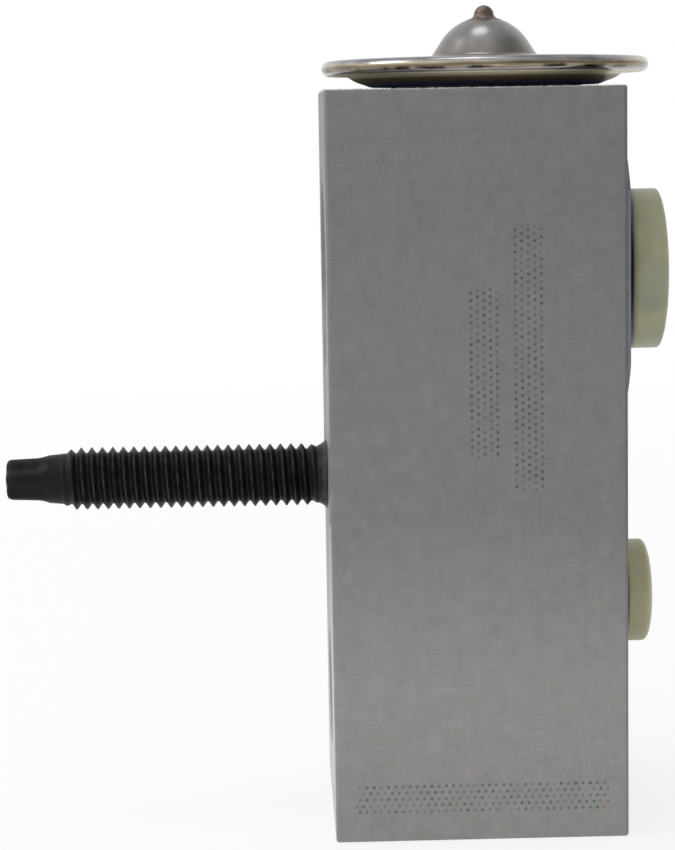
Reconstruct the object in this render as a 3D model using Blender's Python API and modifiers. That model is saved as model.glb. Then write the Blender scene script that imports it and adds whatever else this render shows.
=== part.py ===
"""Block expansion valve: an aluminium block with crossing passages, a diaphragm head screwed into
its top, the metering ball under its seat, the adjusting screw in its base, a stud and two transit plugs.

Metres. +X points to the evaporator side, +Z up to the head. The origin lies on the evaporator-side
face, at the height of the stud and bolts. Heights named below are above the block's base."""

import math

import bmesh
import bpy
from mathutils import Matrix

# Block
BLOCK_WIDTH = 0.0269
BLOCK_DEPTH = 0.028
BLOCK_HEIGHT = 0.0684
BLOCK_EDGE = 0.0003
BOLT_HEIGHT = 0.0322
BOLT_SPACING = 0.0188
BOLT_HOLE = 0.0066
VALVE_INSET = 0.0115

# Suction passage, from the evaporator side through to the line side
SUCTION_HEIGHT = 0.0513
SUCTION_BORE = 0.013
SUCTION_PAD = 0.0316
SUCTION_PAD_LIFT = 0.0003
SUCTION_COLLAR = 0.0152
SUCTION_COLLAR_LIFT = 0.00105
SUCTION_SOCKET = 0.0172
SUCTION_SOCKET_DEPTH = 0.0022

# Liquid passages: inlet on the line side, outlet on the evaporator side
OUTLET_HEIGHT = 0.0203
OUTLET_BORE = 0.007
OUTLET_COLLAR = 0.0106
OUTLET_COLLAR_LIFT = 0.0013
INLET_HEIGHT = 0.0115
INLET_BORE = 0.0066
INLET_SOCKET = 0.0106
INLET_SOCKET_DEPTH = 0.002
MOUTH_CHAMFER = 0.0003
DRILL_POINT = math.radians(59)

# Fits
FACE_GAP = 0.00005
RUNNING_GAP = 0.00015
THREAD_GAP = 0.00015

# Metering ball and seat
ORIFICE = 0.0034
SEAT_LAND = 0.0008
SEAT_CONE = 0.0008
CHAMBER_BORE = 0.01
BALL = 0.0045
SUPPORT_CUP = 0.0054
SUPPORT_LIP = 0.0002
SUPPORT_PIT = 0.0006
SUPPORT_FLANGE = 0.0084
SUPPORT_FLANGE_THICKNESS = 0.0006
SUPPORT_CUP_HEIGHT = 0.00135
SPRING_GUIDE = 0.0058
SPRING_GUIDE_LENGTH = 0.001
DAMPER_SHEET = 0.0002
DAMPER_HEIGHT = 0.0021
DAMPER_SLOT = 0.0009
DAMPER_SLOTS = 4

# Valve spring
SPRING_WIRE = 0.0007
SPRING_MEAN = 0.0074
SPRING_PITCH = 0.0013
SPRING_POINTS = 13
STROKE = 0.0006

# Adjusting screw in the base
SCREW_THREAD = 0.012
SCREW_RECESS = 0.0008
SCREW_THREAD_LENGTH = 0.0026
SCREW_SOCKET = 0.006
SCREW_SOCKET_DEPTH = 0.0026
SCREW_LIP = 0.00045
SCREW_STEM = 0.0052
SCREW_STEM_LENGTH = 0.0005
SCREW_SEAL_SECTION = 0.0012
SCREW_TRAVEL = 0.0005
SEAT_PLATE = 0.0087
SEAT_PLATE_THICKNESS = 0.0006

# Rod, sensing shaft and its seal
ROD = 0.0024
ROD_ENGAGEMENT = 0.004
SHAFT = 0.0056
SHAFT_GUIDE = 0.005
SHAFT_SPIGOT = 0.0044
SHAFT_SPIGOT_LENGTH = 0.0016
SHAFT_SEAL_SECTION = 0.0019
NUT_SHEET = 0.0003
NUT_CONE = 0.0004
NUT_TEETH = 8
NUT_SLOT = 0.0007
NUT_TOOTH = 0.001
POCKET_LIP = 0.0008

# Head
HEAD_RIM = 0.0306
COVER_SHEET = 0.00055
DIAPHRAGM_SHEET = 0.0002
DIAPHRAGM_ROLL = 0.00018
DIAPHRAGM_ROLL_WIDTH = 0.0009
LAYER_GAP = 0.00006
RIM_GAP = 0.0001
COVER_LIFT = 0.0003
BEAD = 0.0007
UPPER_CROWN = 0.0003
DOME_RADIUS = 0.00483
DOME_RISE = 0.0036
DOME_SLOPE = math.radians(53)
DOME_FOOT_HEIGHT = 0.00024
DOME_FOOT_RADIUS = 0.0006
CHARGE_HOLE = 0.0025
CHARGE_PLUG = 0.003
CHARGE_PLUG_RISE = 0.0012
CHARGE_TIP = 0.0006
CHARGE_TIP_SLOPE = math.radians(48)
NECK_THREAD = 0.016
NECK_WALL = 0.0021
NECK_LENGTH = 0.0073
SHOULDER_OUTER = 0.0256
SHOULDER_INNER = 0.0212
COVER_SEAL_SECTION = 0.0014
PLATE = 0.0202
PLATE_RIM = 0.00032
EDGE_BREAK = 0.0001
HUB = 0.0084
HUB_LENGTH = 0.0024
HUB_CHAMFER = 0.0004

# Stud on the line side
STUD_THREAD = 0.0059
STUD_REACH = 0.0305
STUD_PLAIN = 0.00465
STUD_THREAD_END = 0.0256
STUD_DRIVE = 0.00423
STUD_DRIVE_LENGTH = 0.0033
STUD_LOBES = 6
STUD_LOBE_DEPTH = 0.00022
STUD_TIP = 0.0005
STUD_COLLAR = 0.0066
STUD_COLLAR_LENGTH = 0.00085
STUD_EMBEDDED = 0.01
STUD_THREAD_CHAMFER = 0.0003

# Transit plugs
PLUG_GAP = 0.00028
SUCTION_PLUG_HEAD = 0.0151
SUCTION_PLUG_SIDE = 0.0031
SUCTION_PLUG_CROWN = 0.0006
OUTLET_PLUG_HEAD = 0.0098
OUTLET_PLUG_SIDE = 0.0013
OUTLET_PLUG_CROWN = 0.001
PLUG_ENGAGEMENT = 0.0034
PLUG_WALL = 0.0011
PLUG_FLOOR = 0.0014
CROWN_POWER = 3.2

# Facets
LARGE_ROUND = 36
ROUND = 24
SMALL_ROUND = 20
ARC_STEPS = 5
BEAD_STEPS = 6
BALL_ROUND = 16
BALL_RINGS = 10
SEAL_SIDES = 8
LOBE_STEPS = 6
CROWN_STEPS = 5
MERGE = 1e-6
OVERSHOOT = 0.001

# Places that follow from the sizes, and the turns that lay a piece's own Z along X
LINE_X = -BLOCK_WIDTH
VALVE_X = -VALVE_INSET
TO_EVAPORATOR = (0, math.pi / 2, 0)
TO_LINE = (0, -math.pi / 2, 0)


def above_base(height):
    return height - BOLT_HEIGHT


BASE_Z = above_base(0)
TOP_Z = above_base(BLOCK_HEIGHT)
SUCTION_Z = above_base(SUCTION_HEIGHT)
OUTLET_Z = above_base(OUTLET_HEIGHT)
INLET_Z = above_base(INLET_HEIGHT)

SEAT_Z = OUTLET_Z - OUTLET_BORE / 2 - SEAT_LAND
CHAMBER_TOP_Z = SEAT_Z - SEAT_CONE
BALL_Z = SEAT_Z - math.sqrt((BALL / 2) ** 2 - (ORIFICE / 2) ** 2) - FACE_GAP
CUP_RIM_Z = BALL_Z - math.sqrt(2) * (BALL / 2 + FACE_GAP) + SUPPORT_CUP / 2 - SUPPORT_LIP
FLANGE_TOP_Z = CUP_RIM_Z - SUPPORT_CUP_HEIGHT
FLANGE_Z = FLANGE_TOP_Z - SUPPORT_FLANGE_THICKNESS

SCREW_FOOT_Z = BASE_Z + SCREW_RECESS
GROOVE_Z = SCREW_FOOT_Z + SCREW_THREAD_LENGTH + SCREW_LIP / 2
GROOVE_TOP_Z = GROOVE_Z + SCREW_SEAL_SECTION + 2 * FACE_GAP
SCREW_TOP_Z = GROOVE_TOP_Z + SCREW_LIP
STEM_TOP_Z = SCREW_TOP_Z + SCREW_STEM_LENGTH
SEAT_PLATE_Z = STEM_TOP_Z + FACE_GAP
SPRING_FOOT_Z = SEAT_PLATE_Z + SEAT_PLATE_THICKNESS
SCREW_BORE_TOP_Z = SCREW_TOP_Z + SCREW_TRAVEL + 2 * RUNNING_GAP

POCKET_BORE = SHAFT + 2 * SHAFT_SEAL_SECTION + 4 * FACE_GAP
NUT_Z = SUCTION_Z - SUCTION_BORE / 2 - POCKET_LIP - NUT_CONE - NUT_SHEET
POCKET_Z = NUT_Z - SHAFT_SEAL_SECTION - 2 * FACE_GAP
GUIDE_Z = POCKET_Z - SHAFT_GUIDE
SHAFT_FOOT_Z = GUIDE_Z + STROKE + 2 * RUNNING_GAP
ROD_TOP_Z = SHAFT_FOOT_Z + ROD_ENGAGEMENT - FACE_GAP

# At full stroke the plate's rim stops on the lower cover's floor
RIM_THICKNESS = 2 * COVER_SHEET + DIAPHRAGM_SHEET + 2 * LAYER_GAP
PLATE_DROP = DIAPHRAGM_SHEET / 2 + LAYER_GAP
LOWER_DEPTH = PLATE_DROP + PLATE_RIM + STROKE + RUNNING_GAP + COVER_SHEET
CROWN_HEIGHT = RIM_THICKNESS / 2 + UPPER_CROWN
DOME_CENTRE = CROWN_HEIGHT + DOME_RISE - DOME_RADIUS
COVER_FOOT_Z = TOP_Z + COVER_LIFT
RIM_Z = COVER_FOOT_Z + LOWER_DEPTH
PLATE_TOP_Z = RIM_Z - PLATE_DROP
HUB_FOOT_Z = PLATE_TOP_Z - PLATE_RIM - HUB_LENGTH
NECK_FOOT_Z = COVER_FOOT_Z - NECK_LENGTH
SEAL_GROOVE_Z = COVER_FOOT_Z - COVER_SEAL_SECTION - 2 * FACE_GAP
SHOULDER_Z = HUB_FOOT_Z - FACE_GAP


def new_collection(name, parent):
    made = bpy.data.collections.new(name)
    parent.children.link(made)
    return made


def clear_scene():
    for obj in list(bpy.data.objects):
        bpy.data.objects.remove(obj, do_unlink=True)


def material(name, colour, roughness, metallic):
    made = bpy.data.materials.new(name)
    made.use_nodes = True
    shader = made.node_tree.nodes["Principled BSDF"]
    shader.inputs["Base Color"].default_value = (*colour, 1.0)
    shader.inputs["Roughness"].default_value = roughness
    shader.inputs["Metallic"].default_value = metallic
    return made


def place(name, mesh, finish, location=(0, 0, 0), rotation=(0, 0, 0), home=None):
    obj = bpy.data.objects.new(name, mesh)
    if finish:
        mesh.materials.append(finish)
    obj.location = location
    obj.rotation_euler = rotation
    (home or PARTS).objects.link(obj)
    return obj


def turned(name, profile, finish, location, segments=ROUND, closed=False, rotation=(0, 0, 0), home=None):
    """A piece turned about its own Z axis. The (radius, height) points run down the outer side."""
    mesh = bpy.data.meshes.new(name)
    points = [(radius, 0.0, height) for radius, height in profile]
    edges = [(i, i + 1) for i in range(len(points) - 1)]
    if closed:
        edges.append((len(points) - 1, 0))
    mesh.from_pydata(points, edges, [])
    obj = place(name, mesh, finish, location, rotation, home)
    spin = obj.modifiers.new("Turn", "SCREW")
    spin.steps = segments
    spin.render_steps = segments
    spin.use_merge_vertices = True
    spin.merge_threshold = MERGE
    spin.use_smooth_shade = True
    shade = obj.modifiers.new("Shading", "WEIGHTED_NORMAL")
    shade.keep_sharp = True
    return obj


def arc(centre, radius, start, end, steps=ARC_STEPS):
    """Points of an arc by slope angle: start and end are measured from straight up, outwards."""
    angles = [start + (end - start) * i / steps for i in range(steps + 1)]
    return [(centre[0] + radius * math.sin(a), centre[1] + radius * math.cos(a)) for a in angles]


def s_curve(start, end, steps=ARC_STEPS):
    """A smooth shoulder between two (radius, height) points, level at both ends."""
    shares = [i / steps for i in range(steps + 1)]
    return [
        (
            start[0] + (end[0] - start[0]) * share,
            start[1] + (end[1] - start[1]) * (1 - math.cos(math.pi * share)) / 2,
        )
        for share in shares
    ]


def ring_seal(name, inner, section, height, segments):
    """A round-section ring whose hole has the given radius, lying at the given height."""
    bpy.ops.mesh.primitive_torus_add(
        major_segments=segments,
        minor_segments=SEAL_SIDES,
        major_radius=inner + section / 2,
        minor_radius=section / 2,
        location=(VALVE_X, 0, height + section / 2),
    )
    obj = bpy.context.object
    obj.name = name
    obj.data.materials.append(MATERIALS["rubber"])
    obj.data.shade_smooth()
    for home in list(obj.users_collection):
        home.objects.unlink(obj)
    PARTS.objects.link(obj)


def finished_mesh(name, build):
    mesh = bpy.data.meshes.new(name)
    build.to_mesh(mesh)
    build.free()
    return mesh


def box(name, low, high, finish, home):
    build = bmesh.new()
    bmesh.ops.create_cube(build, size=1.0)
    size = [high[i] - low[i] for i in range(3)]
    middle = [(high[i] + low[i]) / 2 for i in range(3)]
    bmesh.ops.transform(build, matrix=Matrix.Diagonal((*size, 1.0)), verts=build.verts)
    return place(name, finished_mesh(name, build), finish, middle, home=home)


def cylinder(name, radius, low, high, location, rotation, home, segments=ROUND):
    build = bmesh.new()
    bmesh.ops.create_cone(
        build,
        cap_ends=True,
        segments=segments,
        radius1=radius,
        radius2=radius,
        depth=high - low,
        matrix=Matrix.Translation((0, 0, (low + high) / 2)),
    )
    return place(name, finished_mesh(name, build), None, location, rotation, home)


def combine(obj, tools, operation):
    """Joins, cuts or limits a piece with a whole collection of hidden tool shapes."""
    for tool in tools.objects:
        tool.hide_render = True
        tool.display_type = "WIRE"
    step = obj.modifiers.new(operation.title(), "BOOLEAN")
    step.operation = operation
    step.operand_type = "COLLECTION"
    step.collection = tools


def block_bosses(home):
    """What the milling left standing on the evaporator side. The pad stops at the block's side edges."""
    pad = cylinder("suction_pad", SUCTION_PAD / 2, -OVERSHOOT, SUCTION_PAD_LIFT, (0, 0, SUCTION_Z),
                   TO_EVAPORATOR, home, 2 * ROUND)
    limits = new_collection("pad limits", TOOLS)
    side = BLOCK_DEPTH / 2 - BLOCK_EDGE
    low = (-2 * OVERSHOOT, -side, BASE_Z + BLOCK_EDGE)
    high = (OVERSHOOT, side, TOP_Z - BLOCK_EDGE)
    box("pad_limit", low, high, None, limits)
    combine(pad, limits, "INTERSECT")
    for name, height, diameter, lift in (
        ("suction_collar", SUCTION_Z, SUCTION_COLLAR, SUCTION_COLLAR_LIFT),
        ("outlet_collar", OUTLET_Z, OUTLET_COLLAR, OUTLET_COLLAR_LIFT),
    ):
        radius = diameter / 2
        profile = [
            (0, lift),
            (radius - MOUTH_CHAMFER, lift),
            (radius, lift - MOUTH_CHAMFER),
            (radius, -OVERSHOOT),
            (0, -OVERSHOOT),
        ]
        turned(name, profile, None, (0, 0, height), LARGE_ROUND, rotation=TO_EVAPORATOR, home=home)


def valve_axis_bore(home):
    """The stepped bore on the valve axis, from the head's socket down to the screw's port."""
    neck = NECK_THREAD / 2 + THREAD_GAP
    groove = neck + COVER_SEAL_SECTION + THREAD_GAP
    open_bore = NECK_THREAD / 2 - NECK_WALL
    screw_bore = SCREW_THREAD / 2 + THREAD_GAP
    rod_bore = ROD / 2 + RUNNING_GAP
    profile = [
        (0, TOP_Z + OVERSHOOT),
        (groove, TOP_Z + OVERSHOOT),
        (groove, SEAL_GROOVE_Z),
        (neck, SEAL_GROOVE_Z),
        (neck, NECK_FOOT_Z - FACE_GAP),
        (open_bore, NECK_FOOT_Z - FACE_GAP),
        (open_bore, SUCTION_Z),
        (POCKET_BORE / 2, SUCTION_Z),
        (POCKET_BORE / 2, POCKET_Z),
        (SHAFT / 2 + RUNNING_GAP, POCKET_Z),
        (SHAFT / 2 + RUNNING_GAP, GUIDE_Z),
        (rod_bore, GUIDE_Z),
        (rod_bore, OUTLET_Z),
        (ORIFICE / 2, OUTLET_Z),
        (ORIFICE / 2, SEAT_Z),
        (ORIFICE / 2 + SEAT_CONE, CHAMBER_TOP_Z),
        (CHAMBER_BORE / 2, CHAMBER_TOP_Z),
        (CHAMBER_BORE / 2, SCREW_BORE_TOP_Z),
        (screw_bore, SCREW_BORE_TOP_Z),
        (screw_bore, BASE_Z + MOUTH_CHAMFER),
        (screw_bore + MOUTH_CHAMFER + OVERSHOOT, BASE_Z - OVERSHOOT),
        (0, BASE_Z - OVERSHOOT),
    ]
    turned("valve_axis_bore", profile, None, (VALVE_X, 0, 0), LARGE_ROUND, home=home)


def port_bore(name, height, face_x, rotation, bore, depth, home, socket=0, socket_depth=0, through=False):
    """A port drilled in from one side: chamfered mouth, any socket, bore, then drill point or far mouth."""
    mouth = max(bore, socket) / 2
    flare = MOUTH_CHAMFER + OVERSHOOT
    profile = [(0, OVERSHOOT), (mouth + flare, OVERSHOOT), (mouth, -MOUTH_CHAMFER)]
    if socket:
        profile += [(mouth, -socket_depth), (bore / 2, -socket_depth)]
    if through:
        profile += [
            (bore / 2, MOUTH_CHAMFER - depth),
            (bore / 2 + flare, -OVERSHOOT - depth),
            (0, -OVERSHOOT - depth),
        ]
    else:
        profile += [(bore / 2, -depth), (0, -depth - bore / 2 / math.tan(DRILL_POINT))]
    return turned(name, profile, None, (face_x, 0, height), rotation=rotation, home=home)


def block_bores(home):
    valve_axis_bore(home)
    through = BLOCK_WIDTH + SUCTION_COLLAR_LIFT
    port_bore("suction_passage", SUCTION_Z, LINE_X, TO_LINE, SUCTION_BORE, through, home, SUCTION_SOCKET,
              SUCTION_SOCKET_DEPTH, through=True)
    outlet_depth = OUTLET_COLLAR_LIFT + VALVE_INSET
    port_bore("outlet_bore", OUTLET_Z, OUTLET_COLLAR_LIFT, TO_EVAPORATOR, OUTLET_BORE, outlet_depth, home)
    inlet_depth = BLOCK_WIDTH - VALVE_INSET - CHAMBER_BORE / 4
    port_bore("inlet_bore", INLET_Z, LINE_X, TO_LINE, INLET_BORE, inlet_depth, home, INLET_SOCKET,
              INLET_SOCKET_DEPTH)
    stud_bore = STUD_THREAD + 2 * THREAD_GAP
    port_bore("stud_bore", 0, LINE_X, TO_LINE, stud_bore, STUD_EMBEDDED + FACE_GAP, home)
    for name, side in (("front_bolt_hole", -1), ("rear_bolt_hole", 1)):
        hole = port_bore(name, 0, LINE_X, TO_LINE, BOLT_HOLE, BLOCK_WIDTH, home, through=True)
        hole.location[1] = side * BOLT_SPACING / 2


def valve_block():
    low = (LINE_X, -BLOCK_DEPTH / 2, BASE_Z)
    high = (0, BLOCK_DEPTH / 2, TOP_Z)
    block = box("valve_block", low, high, MATERIALS["block"], PARTS)
    edges = block.modifiers.new("Edges", "BEVEL")
    edges.width = BLOCK_EDGE
    edges.segments = 1
    bosses = new_collection("block bosses", TOOLS)
    bores = new_collection("block bores", TOOLS)
    block_bosses(bosses)
    block_bores(bores)
    combine(block, bosses, "UNION")
    combine(block, bores, "DIFFERENCE")


def cover_face(wall, steps):
    """One face of the upper cover from the charge hole out to the bead, wall deep under the outer one."""
    dome_radius = DOME_RADIUS - wall
    hole_slope = math.asin(CHARGE_HOLE / 2 / dome_radius)
    dome = arc((0, DOME_CENTRE), dome_radius, hole_slope, DOME_SLOPE, steps)
    lean = (math.sin(DOME_SLOPE), math.cos(DOME_SLOPE))
    foot_z = CROWN_HEIGHT + DOME_FOOT_HEIGHT
    straight = (DOME_CENTRE + DOME_RADIUS * lean[1] - foot_z) / math.tan(DOME_SLOPE)
    foot_x = DOME_RADIUS * lean[0] + straight
    centre = (foot_x + DOME_FOOT_RADIUS * lean[0], foot_z + DOME_FOOT_RADIUS * lean[1])
    foot = arc(centre, -DOME_FOOT_RADIUS - wall, DOME_SLOPE, 0, 3)
    rim = (HEAD_RIM / 2 - BEAD, RIM_THICKNESS / 2 - wall)
    return dome + foot + [rim]


def upper_cover():
    """Sheet cover with its dome. The weld bead that closes the rim belongs to it."""
    bead = arc((HEAD_RIM / 2 - BEAD, 0), BEAD, 0, math.pi, BEAD_STEPS)
    bead = [(radius, height * RIM_THICKNESS / 2 / BEAD) for radius, height in bead[1:]]
    profile = cover_face(0, ARC_STEPS) + bead + cover_face(COVER_SHEET, ARC_STEPS - 2)[::-1]
    turned("upper_cover", profile, MATERIALS["steel"], (VALVE_X, 0, RIM_Z), LARGE_ROUND, closed=True)


def charge_plug():
    """Dark plug that closes the charge hole: stem, pointed head and round tip."""
    hole_z = DOME_CENTRE + math.sqrt(DOME_RADIUS**2 - (CHARGE_HOLE / 2) ** 2)
    head_z = hole_z + FACE_GAP
    stem = CHARGE_HOLE / 2 - EDGE_BREAK
    profile = arc((0, head_z + CHARGE_PLUG_RISE - CHARGE_TIP), CHARGE_TIP, 0, CHARGE_TIP_SLOPE, 3)
    profile += [
        (CHARGE_PLUG / 2, head_z + EDGE_BREAK),
        (CHARGE_PLUG / 2, head_z),
        (stem, head_z),
        (stem, head_z - COVER_SHEET),
        (0, head_z - COVER_SHEET),
    ]
    turned("charge_plug", profile, MATERIALS["charge"], (VALVE_X, 0, RIM_Z), SMALL_ROUND)


def diaphragm():
    """Thin disc with one rolled corrugation between the plate's edge and the clamped rim."""
    radius = HEAD_RIM / 2 - BEAD - RIM_GAP
    half = DIAPHRAGM_SHEET / 2
    roll = []
    for i in range(ARC_STEPS + 1):
        share = i / ARC_STEPS
        drop = DIAPHRAGM_ROLL * (1 - math.cos(2 * math.pi * share)) / 2
        roll.append((PLATE / 2 + EDGE_BREAK + DIAPHRAGM_ROLL_WIDTH * share, -drop))
    top = [(0, half)] + [(r, z + half) for r, z in roll] + [(radius, half)]
    bottom = [(r, z - DIAPHRAGM_SHEET) for r, z in top[::-1]]
    turned("diaphragm", top + bottom, MATERIALS["spring_steel"], (VALVE_X, 0, RIM_Z))


def lower_cover():
    """Cover below the diaphragm: clamped flange, shoulder and threaded neck."""
    half = RIM_THICKNESS / 2
    flange_x = HEAD_RIM / 2 - BEAD - RIM_GAP
    flange_top = COVER_SHEET - half
    foot = -LOWER_DEPTH
    neck = NECK_THREAD / 2
    bore = neck - NECK_WALL
    floor = foot + COVER_SHEET
    outer_shoulder = s_curve((SHOULDER_OUTER / 2, -half), (SHOULDER_INNER / 2, foot))
    inner_shoulder = s_curve(
        (SHOULDER_INNER / 2 - COVER_SHEET, floor), (SHOULDER_OUTER / 2 - COVER_SHEET, flange_top)
    )
    profile = [(flange_x, flange_top), (flange_x, -half)] + outer_shoulder
    profile += [
        (neck, foot),
        (neck, foot - NECK_LENGTH + MOUTH_CHAMFER),
        (neck - MOUTH_CHAMFER, foot - NECK_LENGTH),
        (bore, foot - NECK_LENGTH),
        (bore, floor),
    ]
    profile += inner_shoulder
    turned("lower_cover", profile, MATERIALS["steel"], (VALVE_X, 0, RIM_Z), LARGE_ROUND, closed=True)


def stop_plate():
    """Plate under the diaphragm, with the hub that takes the shaft's spigot."""
    spigot = SHAFT_SPIGOT / 2 + RUNNING_GAP
    floor = SHAFT_SPIGOT_LENGTH + FACE_GAP
    top = HUB_LENGTH + PLATE_RIM
    profile = [
        (0, top),
        (PLATE / 2 - EDGE_BREAK, top),
        (PLATE / 2, top - EDGE_BREAK),
        (PLATE / 2, HUB_LENGTH),
        (HUB / 2 + HUB_CHAMFER, HUB_LENGTH),
        (HUB / 2, HUB_LENGTH - HUB_CHAMFER),
        (HUB / 2, 0),
        (spigot, 0),
        (spigot, floor),
        (0, floor),
    ]
    turned("stop_plate", profile, MATERIALS["brass"], (VALVE_X, 0, HUB_FOOT_Z))


def sensing_shaft():
    top = SHOULDER_Z + SHAFT_SPIGOT_LENGTH
    rod_bore = ROD / 2 + RUNNING_GAP
    profile = [
        (0, top),
        (SHAFT_SPIGOT / 2, top),
        (SHAFT_SPIGOT / 2, SHOULDER_Z),
        (SHAFT / 2, SHOULDER_Z),
        (SHAFT / 2, SHAFT_FOOT_Z + MOUTH_CHAMFER),
        (SHAFT / 2 - MOUTH_CHAMFER, SHAFT_FOOT_Z),
        (rod_bore, SHAFT_FOOT_Z),
        (rod_bore, SHAFT_FOOT_Z + ROD_ENGAGEMENT),
        (0, SHAFT_FOOT_Z + ROD_ENGAGEMENT),
    ]
    turned("sensing_shaft", profile, MATERIALS["shaft"], (VALVE_X, 0, 0))


def operating_rod():
    foot = BALL_Z + BALL / 2 + FACE_GAP
    profile = [
        (0, ROD_TOP_Z),
        (ROD / 2 - EDGE_BREAK, ROD_TOP_Z),
        (ROD / 2, ROD_TOP_Z - EDGE_BREAK),
        (ROD / 2, foot + EDGE_BREAK),
        (ROD / 2 - EDGE_BREAK, foot),
        (0, foot),
    ]
    turned("operating_rod", profile, MATERIALS["spring_steel"], (VALVE_X, 0, 0), SMALL_ROUND)


def valve_ball():
    build = bmesh.new()
    bmesh.ops.create_uvsphere(build, u_segments=BALL_ROUND, v_segments=BALL_RINGS, radius=BALL / 2)
    mesh = finished_mesh("valve_ball", build)
    mesh.shade_smooth()
    place("valve_ball", mesh, MATERIALS["spring_steel"], (VALVE_X, 0, BALL_Z))


def ball_support():
    """Turned carrier: a conical cup for the ball, a flange for the spring and a guide inside it."""
    cup_x = SUPPORT_CUP / 2
    pocket_x = cup_x - SUPPORT_LIP
    cone_z = CUP_RIM_Z - pocket_x
    profile = [
        (0, cone_z + SUPPORT_PIT),
        (SUPPORT_PIT, cone_z + SUPPORT_PIT),
        (pocket_x, CUP_RIM_Z),
        (cup_x, CUP_RIM_Z),
        (cup_x, FLANGE_TOP_Z),
        (SUPPORT_FLANGE / 2, FLANGE_TOP_Z),
        (SUPPORT_FLANGE / 2, FLANGE_Z),
        (SPRING_GUIDE / 2, FLANGE_Z),
        (SPRING_GUIDE / 2, FLANGE_Z - SPRING_GUIDE_LENGTH),
        (0, FLANGE_Z - SPRING_GUIDE_LENGTH),
    ]
    turned("ball_support", profile, MATERIALS["brass"], (VALVE_X, 0, 0))


def cut_slots(ring, count, reach, width, low, high):
    """Cuts a ring on the valve axis with bars laid across it, each of which makes two opposite slots."""
    slots = new_collection(ring.name + " slots", TOOLS)
    near = (-reach, -width / 2, low)
    far = (reach, width / 2, high)
    for i in range(count):
        slot = box(f"{ring.name}_slot_{i}", near, far, None, slots)
        slot.location[0] = VALVE_X
        slot.rotation_euler[2] = math.pi * (i + 0.5) / count
    combine(ring, slots, "DIFFERENCE")


def damping_spring():
    """Sheet ring round the cup whose slotted fingers flare out to the chamber wall."""
    inner = SUPPORT_CUP / 2 + RUNNING_GAP
    foot = FLANGE_TOP_Z + FACE_GAP
    foot_x = SUPPORT_FLANGE / 2
    tip_x = CHAMBER_BORE / 2 - RUNNING_GAP
    tip_z = foot + DAMPER_HEIGHT
    profile = [
        (tip_x, tip_z),
        (foot_x, foot),
        (inner, foot),
        (inner, foot + DAMPER_SHEET),
        (foot_x - DAMPER_SHEET, foot + DAMPER_SHEET),
        (tip_x - DAMPER_SHEET, tip_z),
    ]
    spring = turned("damping_spring", profile, MATERIALS["spring_steel"], (VALVE_X, 0, 0), closed=True)
    cut_slots(spring, DAMPER_SLOTS, CHAMBER_BORE, DAMPER_SLOT, foot + 3 * DAMPER_SHEET, tip_z + OVERSHOOT)


def valve_spring():
    """Coil with one closed turn at each end, between the seat plate and the ball support."""
    foot = SPRING_FOOT_Z + FACE_GAP
    closed_pitch = SPRING_WIRE + 2 * FACE_GAP
    open_height = FLANGE_Z - FACE_GAP - foot - SPRING_WIRE - 2 * closed_pitch
    open_turns = open_height / SPRING_PITCH
    turns = open_turns + 2
    count = round(turns * SPRING_POINTS)
    curve = bpy.data.curves.new("valve_spring", "CURVE")
    curve.dimensions = "3D"
    curve.bevel_depth = SPRING_WIRE / 2
    curve.bevel_resolution = 2
    curve.use_fill_caps = True
    line = curve.splines.new("POLY")
    line.points.add(count)
    for i, point in enumerate(line.points):
        turn = turns * i / count
        rise = min(turn, 1) * closed_pitch + max(0, turn - turns + 1) * closed_pitch
        rise += min(max(turn - 1, 0), open_turns) * open_height / open_turns
        angle = 2 * math.pi * turn
        x = SPRING_MEAN / 2 * math.cos(angle)
        y = SPRING_MEAN / 2 * math.sin(angle)
        point.co = (x, y, foot + SPRING_WIRE / 2 + rise, 1)
    place("valve_spring", curve, None, (VALVE_X, 0, 0))
    curve.materials.append(MATERIALS["spring_steel"])


def spring_seat():
    guide = SPRING_GUIDE / 2
    top = SEAT_PLATE_THICKNESS + SPRING_GUIDE_LENGTH
    profile = [
        (0, top),
        (guide - EDGE_BREAK, top),
        (guide, top - EDGE_BREAK),
        (guide, SEAT_PLATE_THICKNESS),
        (SEAT_PLATE / 2, SEAT_PLATE_THICKNESS),
        (SEAT_PLATE / 2, 0),
        (0, 0),
    ]
    turned("spring_seat", profile, MATERIALS["brass"], (VALVE_X, 0, SEAT_PLATE_Z))


def adjusting_screw():
    """Socket screw with a seal groove above its thread and a short stem that carries the seat plate."""
    thread = SCREW_THREAD / 2
    land = thread - THREAD_GAP
    floor = thread - SCREW_SEAL_SECTION - FACE_GAP
    profile = [
        (0, STEM_TOP_Z),
        (SCREW_STEM / 2, STEM_TOP_Z),
        (SCREW_STEM / 2, SCREW_TOP_Z),
        (land, SCREW_TOP_Z),
        (land, GROOVE_TOP_Z),
        (floor, GROOVE_TOP_Z),
        (floor, GROOVE_Z),
        (land, GROOVE_Z),
        (thread, GROOVE_Z - SCREW_LIP / 2),
        (thread, SCREW_FOOT_Z + THREAD_GAP),
        (land, SCREW_FOOT_Z),
        (0, SCREW_FOOT_Z),
    ]
    screw = turned("adjusting_screw", profile, MATERIALS["brass"], (VALVE_X, 0, 0))
    sockets = new_collection("screw socket", TOOLS)
    corner = SCREW_SOCKET / 2 / math.cos(math.pi / 6)
    floor = SCREW_FOOT_Z + SCREW_SOCKET_DEPTH
    cylinder("hexagon", corner, SCREW_FOOT_Z - OVERSHOOT, floor, (VALVE_X, 0, 0), (0, 0, 0), sockets, 6)
    combine(screw, sockets, "DIFFERENCE")


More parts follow.
